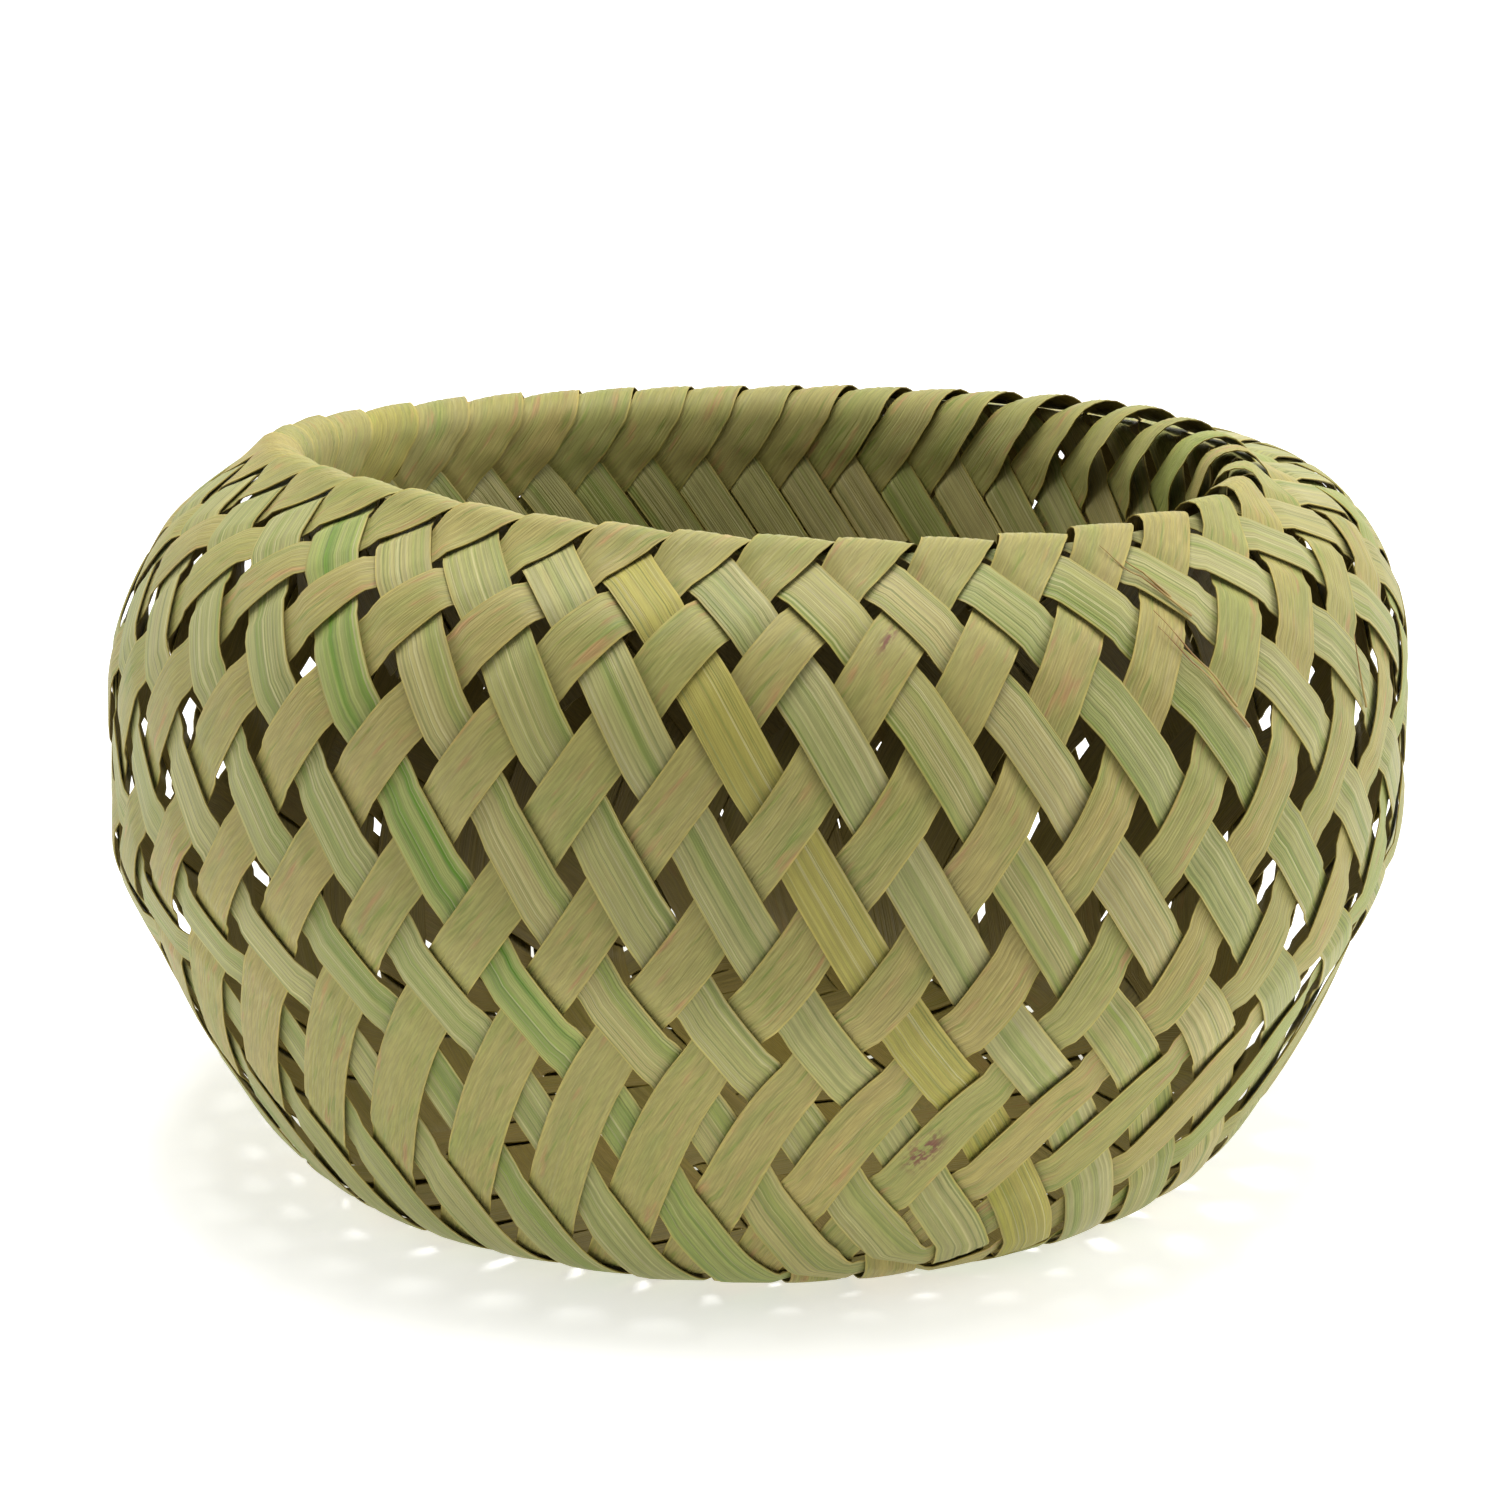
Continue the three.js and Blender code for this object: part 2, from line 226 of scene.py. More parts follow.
def mat_point(x, y):
    """The base: x and y count strips from its middle, and its square outline opens to a round."""
    share = (np.abs(x) + np.abs(y)) / HALF_MAT
    quarter_turn = np.pi / 2
    straight = np.arctan2(y, x)
    quarter = np.floor(straight / quarter_turn + 0.5)
    lean = np.tan(straight - quarter * quarter_turn)
    turn = quarter_turn * (quarter + lean / (1 + np.abs(lean)))
    swing = CORNER_SWING * np.sin(4 * turn)
    edge = edge_distance + CORNER_REACH * np.cos(4 * turn)
    opened = share ** OPENING_POWER
    flat = MAT_PITCH * np.hypot(x, y) * (1 - share ** (OPENING_POWER - 1))
    shift = turn - swing + crowding(CORNER_ANGLE + turn) - straight
    return on_skin(flat + edge * opened, CORNER_ANGLE + straight + opened * shift,
                   np.zeros_like(share))


print("a place on the rim in mm:", np.round(wall_point(0.0, RIM_ROW), 1))

# %% [markdown]
# ## Where a strip runs
# A strip is told by two numbers: how far along it we are, and how many strips beside the
# middle of the mat it lies. Both are counted in crossings. Where it leaves the mat, the same
# two numbers turn into a place round the wall and a row on it. Each strip could be drawn over
# the skin by hand, but these two numbers put all 40 in their places by one rule.

# %% From strip numbers to places
def strand_point(family, way, along, beside):
    """The place of a strip's line on the skin. Family 0 lies along the mat, 1 across it, and
    way is 1 or -1 for a strip on one or the other side of the mat's middle."""
    near = along >= 0
    side = np.where(near, 1, -1) * way
    quarter = family + np.where(near, 0, 2)
    own = way * beside
    cross = HALF_MAT - np.abs(along)
    row = own - cross
    on_wall = wall_point(side * (own + cross) / 2 + quarter * HALF_MAT, np.maximum(row, 0))
    x, y = (along, beside) if family == 0 else (-beside, along)
    return np.where((row >= 0)[..., None], on_wall, mat_point(x, y))


def skin_frame(family, way, along, beside, step=0.01):
    """The place on the skin, its two slopes and the normal of its outer face."""
    centre = strand_point(family, way, along, beside)
    by_along = (strand_point(family, way, along + step, beside)
                - strand_point(family, way, along - step, beside)) / (2 * step)
    by_beside = (strand_point(family, way, along, beside + step)
                 - strand_point(family, way, along, beside - step)) / (2 * step)
    normal = np.cross(by_beside, by_along)
    normal /= np.linalg.norm(normal, axis=-1, keepdims=True)
    return centre, by_along, by_beside, normal


belly = skin_frame(0, 1, np.array([HALF_MAT]), np.array([RIM_ROW / 2]))
print("one crossing half way up the wall in mm:", np.round(np.linalg.norm(belly[1]), 2))

# %% [markdown]
# ## Over and under
# On the wall each strip goes over one and under one. In the base it passes three at a time,
# in the lowest bands two, and one lean runs over the rim in one sweep. A wave such as a sine
# would make the strips look like cord. Leaf is springy and flat, so a strip stays level where
# it passes another, and crosses to the other side of the skin in a short smooth slope.

# %% The over and under of one strip
BASE_FLOAT = 3
FOOT_FLOAT = 2
RIM_FLOAT_ROW = 13
LEAF_THICKNESS = 0.28
LAYER_OFFSET = 0.34
# A long float bows out a little more
FLOAT_RISE = 0.12
# The share of a crossing that stays level at each of its ends
SLOPE_START = 0.38


def left_lean_is_outside(row):
    """Whether the left lean lies outside in a row of crossings. The base has rows below 0."""
    if row < 0:
        return math.floor((-row - 1) / BASE_FLOAT) % 2 == 1
    if row < 2 * FOOT_FLOAT:
        return row < FOOT_FLOAT
    return row % 2 == 0 if row < RIM_ROW else row > RIM_FLOAT_ROW


def smooth_step(share):
    """From 0 to 1 with a soft start and end."""
    share = np.clip(share, 0, 1)
    return share * share * (3 - 2 * share)


def over_and_under(place, along):
    """The strip's height over the skin in mm, by its distance along it in crossings."""
    first = math.floor(along.min()) - 1
    last = math.floor(along.max()) + 1
    heights = []
    for k in range(first, last + 1):
        row = round(abs(place) - HALF_MAT + abs(k + 0.5))
        side = math.copysign(1, place) * (1 if k + 0.5 > 0 else -1)
        outside = left_lean_is_outside(row) == (side > 0)
        heights.append(1 if outside else -1)
    heights = np.array(heights, float)
    position = along - 0.5 - first
    k = np.clip(np.floor(position).astype(int), 0, len(heights) - 2)
    share = (position - k - SLOPE_START) / (1 - 2 * SLOPE_START)
    blend = smooth_step(share)
    height = heights[k] * (1 - blend) + heights[k + 1] * blend
    floats = heights[k] == heights[k + 1]
    rise = np.where(floats, heights[k] * np.sin(np.pi * (position - k)), 0)
    return LAYER_OFFSET * height + FLOAT_RISE * rise


print("air between two crossed strips in mm:", round(2 * LAYER_OFFSET - LEAF_THICKNESS, 2))

# %% [markdown]
# ## What makes each strip different
# Leaf is cut by eye and pulled by hand, so a strip wanders a little sideways, and its width,
# its tilt and its height over the skin all change slowly. A random number at every point would
# make a ragged edge. So each of these is a slow wave: a smooth curve through a few random
# numbers, which are the same at every run.

# %% Slow waves along a strip
# The distance between two random numbers in crossings, and their usual size
SHIFT_WAVE = (3.1, 0.022)
LOOSE_WAVE = (5.0, 0.3)
WIDTH_WAVE = (4.3, 0.16)
TILT_WAVE = (1.7, 0.022)
HEIGHT_WAVE = (2.3, 0.05)


def slow_wave(rng, along, wavelength, size):
    """A smooth random wave along a strip. Wavelength in crossings."""
    knots = np.arange(math.floor(along.min()) - 2, along.max() + 2 + wavelength, wavelength)
    values = rng.normal(0, size, len(knots))
    k = np.clip(np.searchsorted(knots, along) - 1, 1, len(knots) - 3)
    u = (along - knots[k]) / wavelength
    # A cubic curve from the second to the third of four values
    p0, p1, p2, p3 = values[k - 1], values[k], values[k + 1], values[k + 2]
    return (p1 + 0.5 * u * (p2 - p0 + u * (2 * p0 - 5 * p1 + 4 * p2 - p3
            + u * (3 * (p1 - p2) + p3 - p0))))


sample_wave = slow_wave(np.random.default_rng(1), np.linspace(-10, 10, 200), *WIDTH_WAVE)
print("a strip's width may change by mm:", np.round([sample_wave.min(), sample_wave.max()], 2))

# %% [markdown]
# ## The rim
# Over the rim the strips of one lean lie on top and overlap like shingles, each on the edge of
# the next. On the right side, between the front and the back, some of them stand loose: they
# bow off the rim with one edge up, and the strips under them have sunk. Each strip could be
# posed by hand, but a zone moves its neighbours in step: one zone is a few rows at the rim,
# another a soft range of angles where it is loose.

# %% Zones of the rim
# The row where the skin turns over, how many rows the turn takes each way, and how far the
# two layers move apart in it
RIM_TURN_ROW = 12.1
RIM_TURN_HALF = 0.9
RIM_SPREAD = 0.3
# Where the loose bands are, and how far they lift, tilt, sink and narrow
LOOSE_ANGLE = math.radians(124)
LOOSE_SPREAD = math.radians(26)
LOOSE_LIFT = 1.2
LOOSE_TILT = 0.55
LOOSE_DROP = 1.3
LOOSE_WIDTH = 1.1
# The rows of the shingles, and how far they widen, tilt and lift
SHINGLE_ROWS = (10.5, 13.5)
SHINGLE_FADE = 0.9
SHINGLE_WIDTH = 0.7
SHINGLE_TILT = 0.11
SHINGLE_LIFT = 0.35


def over_the_rim(row):
    """1 where the skin turns over the rim, and 0 away from it."""
    return np.exp(-((row - RIM_TURN_ROW) / RIM_TURN_HALF) ** 2)


def in_the_shingles(row):
    """1 on the rows where only one lean lies on top, with a soft start and end."""
    first, last = SHINGLE_ROWS
    return smooth_step((row - first) / SHINGLE_FADE) * smooth_step((last - row) / SHINGLE_FADE)


rows_shown = np.arange(10, 15)
print("how far rows 10 to 14 are over the rim:", np.round(over_the_rim(rows_shown), 2))

# %% [markdown]
# ## The line of a strip
# The ribbon starts as a line down the middle of its strip, with several points for each
# crossing. At each point we need the direction square to the strip and the distance to the
# next strips, because a leaf can't be wider than the room that its neighbours leave. Near a
# corner of the mat that room changes fast, so it is evened out over one crossing. Without
# this the strip's edges get notches.

# %% The line and its room
END_ROW = 15.5
SECTIONS_PER_CROSSING = 8


def evened(values):
    """The values along a strip, evened out over one crossing, so that no edge has a notch."""
    padded = np.pad(values, SECTIONS_PER_CROSSING // 2, mode="edge")
    window = np.ones(SECTIONS_PER_CROSSING + 1) / (SECTIONS_PER_CROSSING + 1)
    return np.convolve(padded, window, mode="valid")


def least_nearby(values):
    """The least of the values within half a crossing, so that a strip stays off its neighbour."""
    padded = np.pad(values, SECTIONS_PER_CROSSING // 2, mode="edge")
    windows = np.lib.stride_tricks.sliding_window_view(padded, SECTIONS_PER_CROSSING + 1)
    return windows.min(axis=1)


def strip_line(family, place, rng):
    """The middle line of a strip, with its slopes and its room, point by point."""
    reach = END_ROW + HALF_MAT - abs(place)
    along = np.linspace(-reach, reach, 2 * round(reach * SECTIONS_PER_CROSSING) + 1)
    beside = place + slow_wave(rng, along, *SHIFT_WAVE)
    way = np.sign(place)
    centre, by_along, by_beside, _ = skin_frame(family, way, along, beside)
    mixed = np.sum(by_along * by_beside, axis=-1) / np.sum(by_along ** 2, axis=-1)
    square = by_beside - mixed[:, None] * by_along
    pitch = np.linalg.norm(square, axis=-1)
    return {
        "along": along,
        "beside": beside,
        "centre": centre,
        "square": square,
        "mixed": evened(mixed),
        "pitch": evened(pitch),
        "room": evened(least_nearby(pitch)),
        "row": abs(place) - HALF_MAT + np.abs(along),
        "on_top": way * np.where(along >= 0, 1, -1) < 0,
    }


sample_line = strip_line(0, 0.5, np.random.default_rng(1))
print("room for a strip in mm, least and most:",
      np.round([sample_line["room"].min(), sample_line["room"].max()], 2))

# %% [markdown]
# ## Width, height and tilt
# The width follows the place on the basket. The base is plaited tighter than the wall, and the
# back of the wall is plaited from the wider ends of the leaves, so hardly any light comes
# through there. At the rim the shingles widen and the loose bands are drawn narrow. Each of
# these is a share from 0 to 1 that fades in and out over a row or two.

# %% Width, height and tilt of one strip
BACK_WIDTH = 1.6
BACK_START = math.radians(78)
BACK_FULL = math.radians(108)
BASE_WIDTH = 0.3
FADE_ROWS = 2
# The air that a strip leaves beside its neighbours, and how much less of it the back has
NEIGHBOUR_GAP = 0.25
BACK_SQUEEZE = 0.1


def strip_zones(line, rng):
    """How much of each zone every point of a strip is in. Onward is 1 or -1, and says which
    of the strip's edges is the further one round the basket."""
    turn = np.arctan2(line["centre"][:, 0], -line["centre"][:, 1])
    loose_rim = np.exp(-((turn - LOOSE_ANGLE) / LOOSE_SPREAD) ** 2) * over_the_rim(line["row"])
    square = line["square"]
    back = smooth_step((np.abs(turn) - BACK_START) / (BACK_FULL - BACK_START))
    back *= smooth_step((line["row"] + 1) / FADE_ROWS)
    back *= smooth_step((RIM_ROW - line["row"]) / FADE_ROWS)
    return {
        "loose_rim": loose_rim,
        "loose": loose_rim * line["on_top"],
        "uneven": 1 + slow_wave(rng, line["along"], *LOOSE_WAVE),
        "onward": np.sign(square[:, 0] * np.cos(turn) + square[:, 1] * np.sin(turn)),
        "overlaps": line["on_top"] * (1 - loose_rim),
        "back": back,
    }


def strip_width(line, zones, rng):
    """The width along a strip, no more than its neighbours leave room for."""
    width = STRIP_WIDTH + slow_wave(rng, line["along"], *WIDTH_WAVE)
    width += BACK_WIDTH * zones["back"] - LOOSE_WIDTH * zones["loose"]
    width += BASE_WIDTH * smooth_step(-line["row"] / FADE_ROWS)
    most = line["room"] - NEIGHBOUR_GAP + BACK_SQUEEZE * zones["back"]
    shingle = zones["overlaps"] * in_the_shingles(line["row"])
    return np.minimum(width, most) + SHINGLE_WIDTH * shingle ** 2


def strip_height(line, zones, weave_height, grid_row, by, rng):
    """The height of each point of a strip over the skin, from its over and under."""
    tilt = slow_wave(rng, line["along"], *TILT_WAVE)
    tilt -= LOOSE_TILT * zones["onward"] * zones["loose"]
    lift = slow_wave(rng, line["along"], *HEIGHT_WAVE)
    lift += LOOSE_LIFT * zones["loose"] * zones["uneven"]
    lift -= LOOSE_DROP * zones["loose_rim"] * ~line["on_top"]
    layer = np.where(line["on_top"], RIM_SPREAD, -RIM_SPREAD)
    shingle = zones["overlaps"][:, None] * in_the_shingles(grid_row)
    height = weave_height + layer[:, None] * over_the_rim(grid_row)
    height += shingle * (SHINGLE_LIFT - SHINGLE_TILT * zones["onward"][:, None] * by)
    return height + tilt[:, None] * by + lift[:, None]


sample_zones = strip_zones(sample_line, np.random.default_rng(2))
sample_width = strip_width(sample_line, sample_zones, np.random.default_rng(3))
print("width of one strip in mm:", np.round([sample_width.min(), sample_width.max()], 2))

# %% [markdown]
# ## One strip as a ribbon
# Each strip could be a curve with a flat profile, but such a profile twists where it bends
# over the rim at an angle. So the strip is a ribbon whose every column follows the skin: a
# row of points square to the strip, lifted by the over and under, with a thin cupped body
# that gets thinner at its cut edges.

# %% The two faces of a ribbon
COLUMNS = 9
CROWN = 0.04
EDGE_THINNING = 0.45
EDGE_POWER = 6


def strip_ribbon(family, place, rng):
    """The outer and inner face of a strip as grids of points, with what its finish needs."""
    line = strip_line(family, place, rng)
    zones = strip_zones(line, rng)
    width = strip_width(line, zones, rng)
    across = np.linspace(-1, 1, COLUMNS)[None, :]
    by = across / 2 * width[:, None]
    way = np.sign(place)
    grid_beside = line["beside"][:, None] + by / line["pitch"][:, None]
    grid_along = line["along"][:, None] - (line["mixed"] / line["pitch"])[:, None] * by
    grid_row = way * grid_beside + np.abs(grid_along) - HALF_MAT
    points, _, _, normal = skin_frame(family, way, grid_along, grid_beside)
    weave_height = over_and_under(place, grid_along)
    height = strip_height(line, zones, weave_height, grid_row, by, rng)
    height += CROWN * (1 - across ** 2)
    edge = np.abs(across)
    half = LEAF_THICKNESS / 2 * (1 - EDGE_THINNING * edge ** EDGE_POWER)
    steps = np.linalg.norm(np.diff(line["centre"], axis=0), axis=-1)
    length = np.concatenate([[0], np.cumsum(steps)])
    return {
        "outer": points + normal * (height + half)[..., None],
        "inner": points + normal * (height - half)[..., None],
        "across": by,
        "length": length - length[len(length) // 2],
        "edge": np.broadcast_to(edge, by.shape),
        "lean": np.broadcast_to(line["on_top"].astype(float)[:, None], by.shape),
    }


print("points across a ribbon:", COLUMNS, "on each face")

# %% [markdown]
# All 40 ribbons are worked out before any mesh is made, because the basket has to stand
# where the frame stands. The frame's origin is under the middle of the whole basket, so the
# ribbons move by one shift, which brings the middle of their box to the middle of the frame's
# box, and their lowest point to the floor.

# %% Work out every strip
SEED = 7
FAMILIES = {"along": 0, "across": 1}
ribbons = {}
for number in range(1, STRIPS_EACH_WAY + 1):
    for name, family in FAMILIES.items():
        rng = np.random.default_rng([SEED, family, number])
        ribbon = strip_ribbon(family, number - 0.5 - HALF_MAT, rng)
        ribbon["seed"] = rng.random()
        ribbons[f"strip_{name}_{number:02d}"] = ribbon

every_point = np.concatenate([ribbon[face].reshape(-1, 3) for ribbon in ribbons.values()
                              for face in ("outer", "inner")])
low = every_point.min(axis=0)
high = every_point.max(axis=0)
cad_low, cad_high = (np.array(corner) / MM for corner in cad_bounds)
basket_shift = (cad_low + cad_high) / 2 - (low + high) / 2
basket_shift[2] = cad_low[2] - low[2]
print("size of the ribbons in mm:", np.round(high - low, 2))
print("shift onto the frame in mm:", np.round(basket_shift, 2))

# %% [markdown]
# ## From grids of points to a mesh
# A ribbon's two grids of points are joined into one closed skin: the outer face, the inner
# face turned the other way, the two long edges and the two ends. A solidify modifier could
# thicken one grid instead. Two grids are used because each face then has its own points, which
# carry what its finish needs. Each corner also gets a place on a leaf map in millimetres,
# across and along the strip, so that patterns keep their real size everywhere.

# %% The faces of a ribbon
def grid_faces(rows, columns, start, flipped):
    """The four-sided faces of one grid of points."""
    i, j = np.meshgrid(np.arange(rows - 1), np.arange(columns - 1), indexing="ij")
    a = start + i * columns + j
    quads = np.stack([a, a + columns, a + columns + 1, a + 1], axis=-1).reshape(-1, 4)
    return quads[:, ::-1] if flipped else quads


def ribbon_faces(rows, columns):
    """The four-sided faces of a closed ribbon: its two grids, its long edges and its ends."""
    count = rows * columns
    faces = [grid_faces(rows, columns, 0, True), grid_faces(rows, columns, count, False)]
    borders = [(np.arange(rows - 1) * columns + column, columns, flipped)
               for column, flipped in ((0, True), (columns - 1, False))]
    borders += [(row * columns + np.arange(columns - 1), 1, flipped)
                for row, flipped in ((0, False), (rows - 1, True))]
    for a, step, flipped in borders:
        quads = np.stack([a, a + step, a + step + count, a + count], axis=-1)
        faces.append(quads[:, ::-1] if flipped else quads)
    return np.concatenate(faces)


print("faces of a ribbon with 100 rows:", len(ribbon_faces(100, COLUMNS)))

# %% [markdown]
# The photograph shows a few dark red blemishes, as where a leaf was bruised. Noise can't put
# them at their places, so they are a list. Each is a soft spot, longer along the fibres, and
# the speckle of the leaf's material breaks it up.

# %% Blemishes
# The strip, mm along and across it, half length and half width
BLEMISHES = [
    ("strip_along_09", 87.2, -0.8, 3.2, 1.6),
    ("strip_along_09", 127.2, -0.8, 2.6, 0.7),
    ("strip_along_05", 146.8, -0.8, 2.2, 0.5),
]
BLEMISH_REACH = 1.5


def blemish_field(name, ribbon):
    """How strongly a strip's blemishes show at each point of its outer face."""
    field = np.zeros(ribbon["across"].shape)
    for strip, at, beside, half_length, half_width in BLEMISHES:
        if strip == name:
            distance = np.hypot((ribbon["length"][:, None] - at) / half_length,
                                (ribbon["across"] - beside) / half_width)
            field += smooth_step(BLEMISH_REACH - distance)
    return field


print("blemishes:", len(BLEMISHES))

# %% The mesh of one strip
SHARP_EDGE = math.radians(50)


def strip_mesh(name, ribbon):
    """A closed ribbon with a leaf map in millimetres and the values that its finish reads."""
    rows, columns = ribbon["across"].shape
    count = rows * columns
    points = np.concatenate([ribbon[face].reshape(-1, 3) for face in ("outer", "inner")])
    points = (points + basket_shift) * MM
    quads = ribbon_faces(rows, columns)
    mesh = bpy.data.meshes.new(name)
    mesh.from_pydata(points.tolist(), [], quads.tolist())
    leaf_map = mesh.uv_layers.new(name="leaf")
    across = np.tile(ribbon["across"].reshape(-1), 2)
    length = np.tile(np.repeat(ribbon["length"], columns), 2)
    uv = np.stack([across, length], axis=-1)[quads.reshape(-1)]
    leaf_map.data.foreach_set("uv", uv.reshape(-1))
    blemish = blemish_field(name, ribbon).reshape(-1)
    values = {
        "blemish": np.concatenate([blemish, np.zeros(count)]),
        "edge": np.tile(ribbon["edge"].reshape(-1), 2),
        "lean": np.tile(ribbon["lean"].reshape(-1), 2),
        "inner_face": np.repeat([0.0, 1.0], count),
        "strip_seed": np.full(2 * count, ribbon["seed"]),
    }
    for key, numbers in values.items():
        attribute = mesh.attributes.new(key, "FLOAT", "POINT")
        attribute.data.foreach_set("value", numbers.astype(np.float32))
    mesh.polygons.foreach_set("use_smooth", np.ones(len(quads), bool))
    mesh.set_sharp_from_angle(angle=SHARP_EDGE)
    mesh.validate()
    piece = bpy.data.objects.new(f"{name}_leaf", mesh)
    bpy.context.scene.collection.objects.link(piece)
    return piece


print("edges stay sharp over degrees:", round(math.degrees(SHARP_EDGE)))

# %% [markdown]
# ## The leaf
# Split palm leaf dries to a matt olive green. One lean of strips is drawn ribbed, with straight
# fibre lines and greener streaks, and painted paler: the paleness is painted sheen, where the
# light catches that lean. The other lean is drawn smoother and a darker olive, with clouds of
# green and small brown marks. The cut edges dry to straw yellow. Every pattern runs along the
# strip, so all of them read the leaf map. A photo texture would repeat from strip to strip, and
# a wave or brick pattern would look printed. Noise stretched along the strip draws them instead,
# because it is never regular.

# %% Colours and nodes
def srgb(code):
    """An sRGB hex colour as linear RGBA."""
    channels = [int(code[i:i + 2], 16) / 255 for i in (1, 3, 5)]
    linear = [c / 12.92 if c <= 0.04045 else ((c + 0.055) / 1.055) ** 2.4 for c in channels]
    return (*linear, 1.0)


def empty_material(name):
    """A new material and its node tree, with no nodes in it yet."""
    material = bpy.data.materials.new(name)
    material.use_nodes = True
    material.node_tree.nodes.clear()
    return material, material.node_tree


def add_node(tree, kind, inputs=None, output=None, **settings):
    """Adds a node with its settings, and gives its named output or its first one. An input
    is a value or another node's output, under the name or the number of its socket."""
    node = tree.nodes.new(kind)
    for name, value in settings.items():
        setattr(node, name, value)
    sockets = [socket for socket in node.inputs if socket.enabled]
    for key, value in (inputs or {}).items():
        socket = sockets[key] if isinstance(key, int) else node.inputs[key]
        if isinstance(value, bpy.types.NodeSocket):
            tree.links.new(value, socket)
        else:
            socket.default_value = value
    if output:
        return node.outputs[output]
    return next((socket for socket in node.outputs if socket.enabled), None)


print("mid grey as linear light:", round(srgb("#808080")[0], 3))

# %% [markdown]
# The patterns of the leaf are a table, in cells of noise for each millimetre. A fibre is about
# 0.2 mm wide and runs on for 50 mm, so its noise has 4.5 cells per mm across and 0.02 along.
# A pale or dark line is 0.3 mm wide, a streak 2 mm, a cloud 3 mm, a green dash 0.8 by 8 mm and
# a brown mark 1.2 by 8 mm. Grain is 0.2 by 3 mm, and the speckle of a blemish 0.6 by 1.1 mm.
# Real fibres can be finer than 0.2 mm, but those don't show from this far, so they are drawn
# as coarse as this. The last two numbers of a row say where in the noise the pattern starts
# and where it is full.

# %% Patterns of the leaf
# Name: noise cells per mm across and along, slant to the strip, detail, start and full value
PATTERNS = {
    "fibres": (4.5, 0.02, 0.0, 2.0, 0.34, 0.66),
    "lines": (3.6, 0.012, 0.0, 1.0, 0.58, 0.68),
    "dark lines": (3.0, 0.015, 0.0, 1.0, 0.57, 0.68),
    "streaks": (0.5, 0.008, 0.0, 2.0, 0.48, 0.74),
    "clouds": (0.30, 0.06, 0.12, 2.0, 0.48, 0.72),
    "green dashes": (1.3, 0.12, 0.12, 2.0, 0.58, 0.72),
    "marks": (0.8, 0.13, 0.06, 3.0, 0.58, 0.74),
    "grain": (4.5, 0.35, 0.12, 3.0, 0.32, 0.68),
    "speckle": (1.6, 0.9, 0.0, 2.0, 0.40, 0.56),
}
# Each pattern reads the noise this many cells further on than the one before
PATTERN_STEP = (17, 31)


def pattern_masks(tree, place):
    """The patterns of the leaf, each as a number from 0 to 1."""
    masks = {}
    for k, (name, row) in enumerate(PATTERNS.items()):
        across, along, slant, detail, start, full = row
        mapped = add_node(tree, "ShaderNodeMapping", {
            "Vector": place, "Rotation": (0, 0, slant)})
        mapped = add_node(tree, "ShaderNodeMapping", {
            "Vector": mapped, "Location": (PATTERN_STEP[0] * k, PATTERN_STEP[1] * k, 0),
            "Scale": (across, along, 1)})
        noise = add_node(tree, "ShaderNodeTexNoise", {
            "Vector": mapped, "Scale": 1.0, "Detail": detail})
        masks[name] = add_node(tree, "ShaderNodeMapRange", {
            "Value": noise, "From Min": start, "From Max": full},
            interpolation_type="SMOOTHSTEP")
    return masks


print("patterns:", ", ".join(PATTERNS))

# %% [markdown]
# Besides the patterns, a point's place says what it shows: the cut edge, the inner face, a
# blemish. The inner face is painted dark brown, which is painted shade: it stands in for the
# shade inside the basket. Each strip carries one random number, its seed. It moves the strip to
# another place in the noise, and folded two ways it says how warm and how cool the whole strip
# is.

# %% Where each finish shows
EDGE_START = 0.9
# The strips' starts spread over this many cells of noise
SEED_SPREAD = 900
# Multiplying the seed by this makes a second number that doesn't follow the first
SEED_SHUFFLE = 7.3
# Each number is folded here, so that it rises and falls between 0 and this value
SEED_FOLD = 0.5


def leaf_masks(tree):
    """The patterns, edge, inner face with its painted shade, blemishes and tints of a strip, as
    numbers from 0 to 1.
    """
    values = {}
    for attribute in ("lean", "edge", "inner_face", "strip_seed", "blemish"):
        values[attribute] = add_node(tree, "ShaderNodeAttribute", output="Fac",
                                     attribute_name=attribute)
    seed = values["strip_seed"]
    leaf_map = add_node(tree, "ShaderNodeUVMap", uv_map="leaf")
    start = add_node(tree, "ShaderNodeCombineXYZ", {"Z": seed})
    start = add_node(tree, "ShaderNodeVectorMath", {0: start, 1: (0, 0, SEED_SPREAD)},
                     operation="MULTIPLY")
    place = add_node(tree, "ShaderNodeVectorMath", {0: leaf_map, 1: start}, operation="ADD")
    masks = pattern_masks(tree, place)
    masks["lean"] = values["lean"]
    masks["edge"] = add_node(tree, "ShaderNodeMapRange", {
        "Value": values["edge"], "From Min": EDGE_START, "From Max": 1.0})
    masks["inner face"] = values["inner_face"]
    masks["blemish"] = add_node(tree, "ShaderNodeMath", {
        0: values["blemish"], 1: masks["speckle"]}, operation="MULTIPLY")
    masks["warm"] = add_node(tree, "ShaderNodeMath", {0: seed, 1: SEED_FOLD},
                             operation="PINGPONG")
    shuffled = add_node(tree, "ShaderNodeMath", {0: seed, 1: SEED_SHUFFLE},
                        operation="MULTIPLY")
    masks["cool"] = add_node(tree, "ShaderNodeMath", {0: shuffled, 1: SEED_FOLD},
                             operation="PINGPONG")
    return masks


print("starts spread over cells of noise:", SEED_SPREAD)

# %% [markdown]
# The colour is built up in layers, as a painter glazes: each layer is one colour, laid on as
# strongly as its mask says. The ribbed lean, painted paler as sheen, and the smooth lean take
# the same layers in other strengths. Last, fibres and grain darken and lighten the whole a
# little.

# %% Colour of the leaf
PALE_LINE = "#c0b888"
DARK_LINE = "#6c7838"
CLOUD = "#8c914c"
GREEN_DASH = "#6f8434"
BLEMISH = "#74353a"
BROWN_MARK = "#ae8458"
DRY_EDGE = "#b8a656"
# Painted shade: the inner faces are painted this dark brown to stand in for the shade inside the
# basket
INNER_FACE_SHADE = "#5e4d18"
WARM_LEAF = "#ac9a58"
COOL_LEAF = "#8d9654"
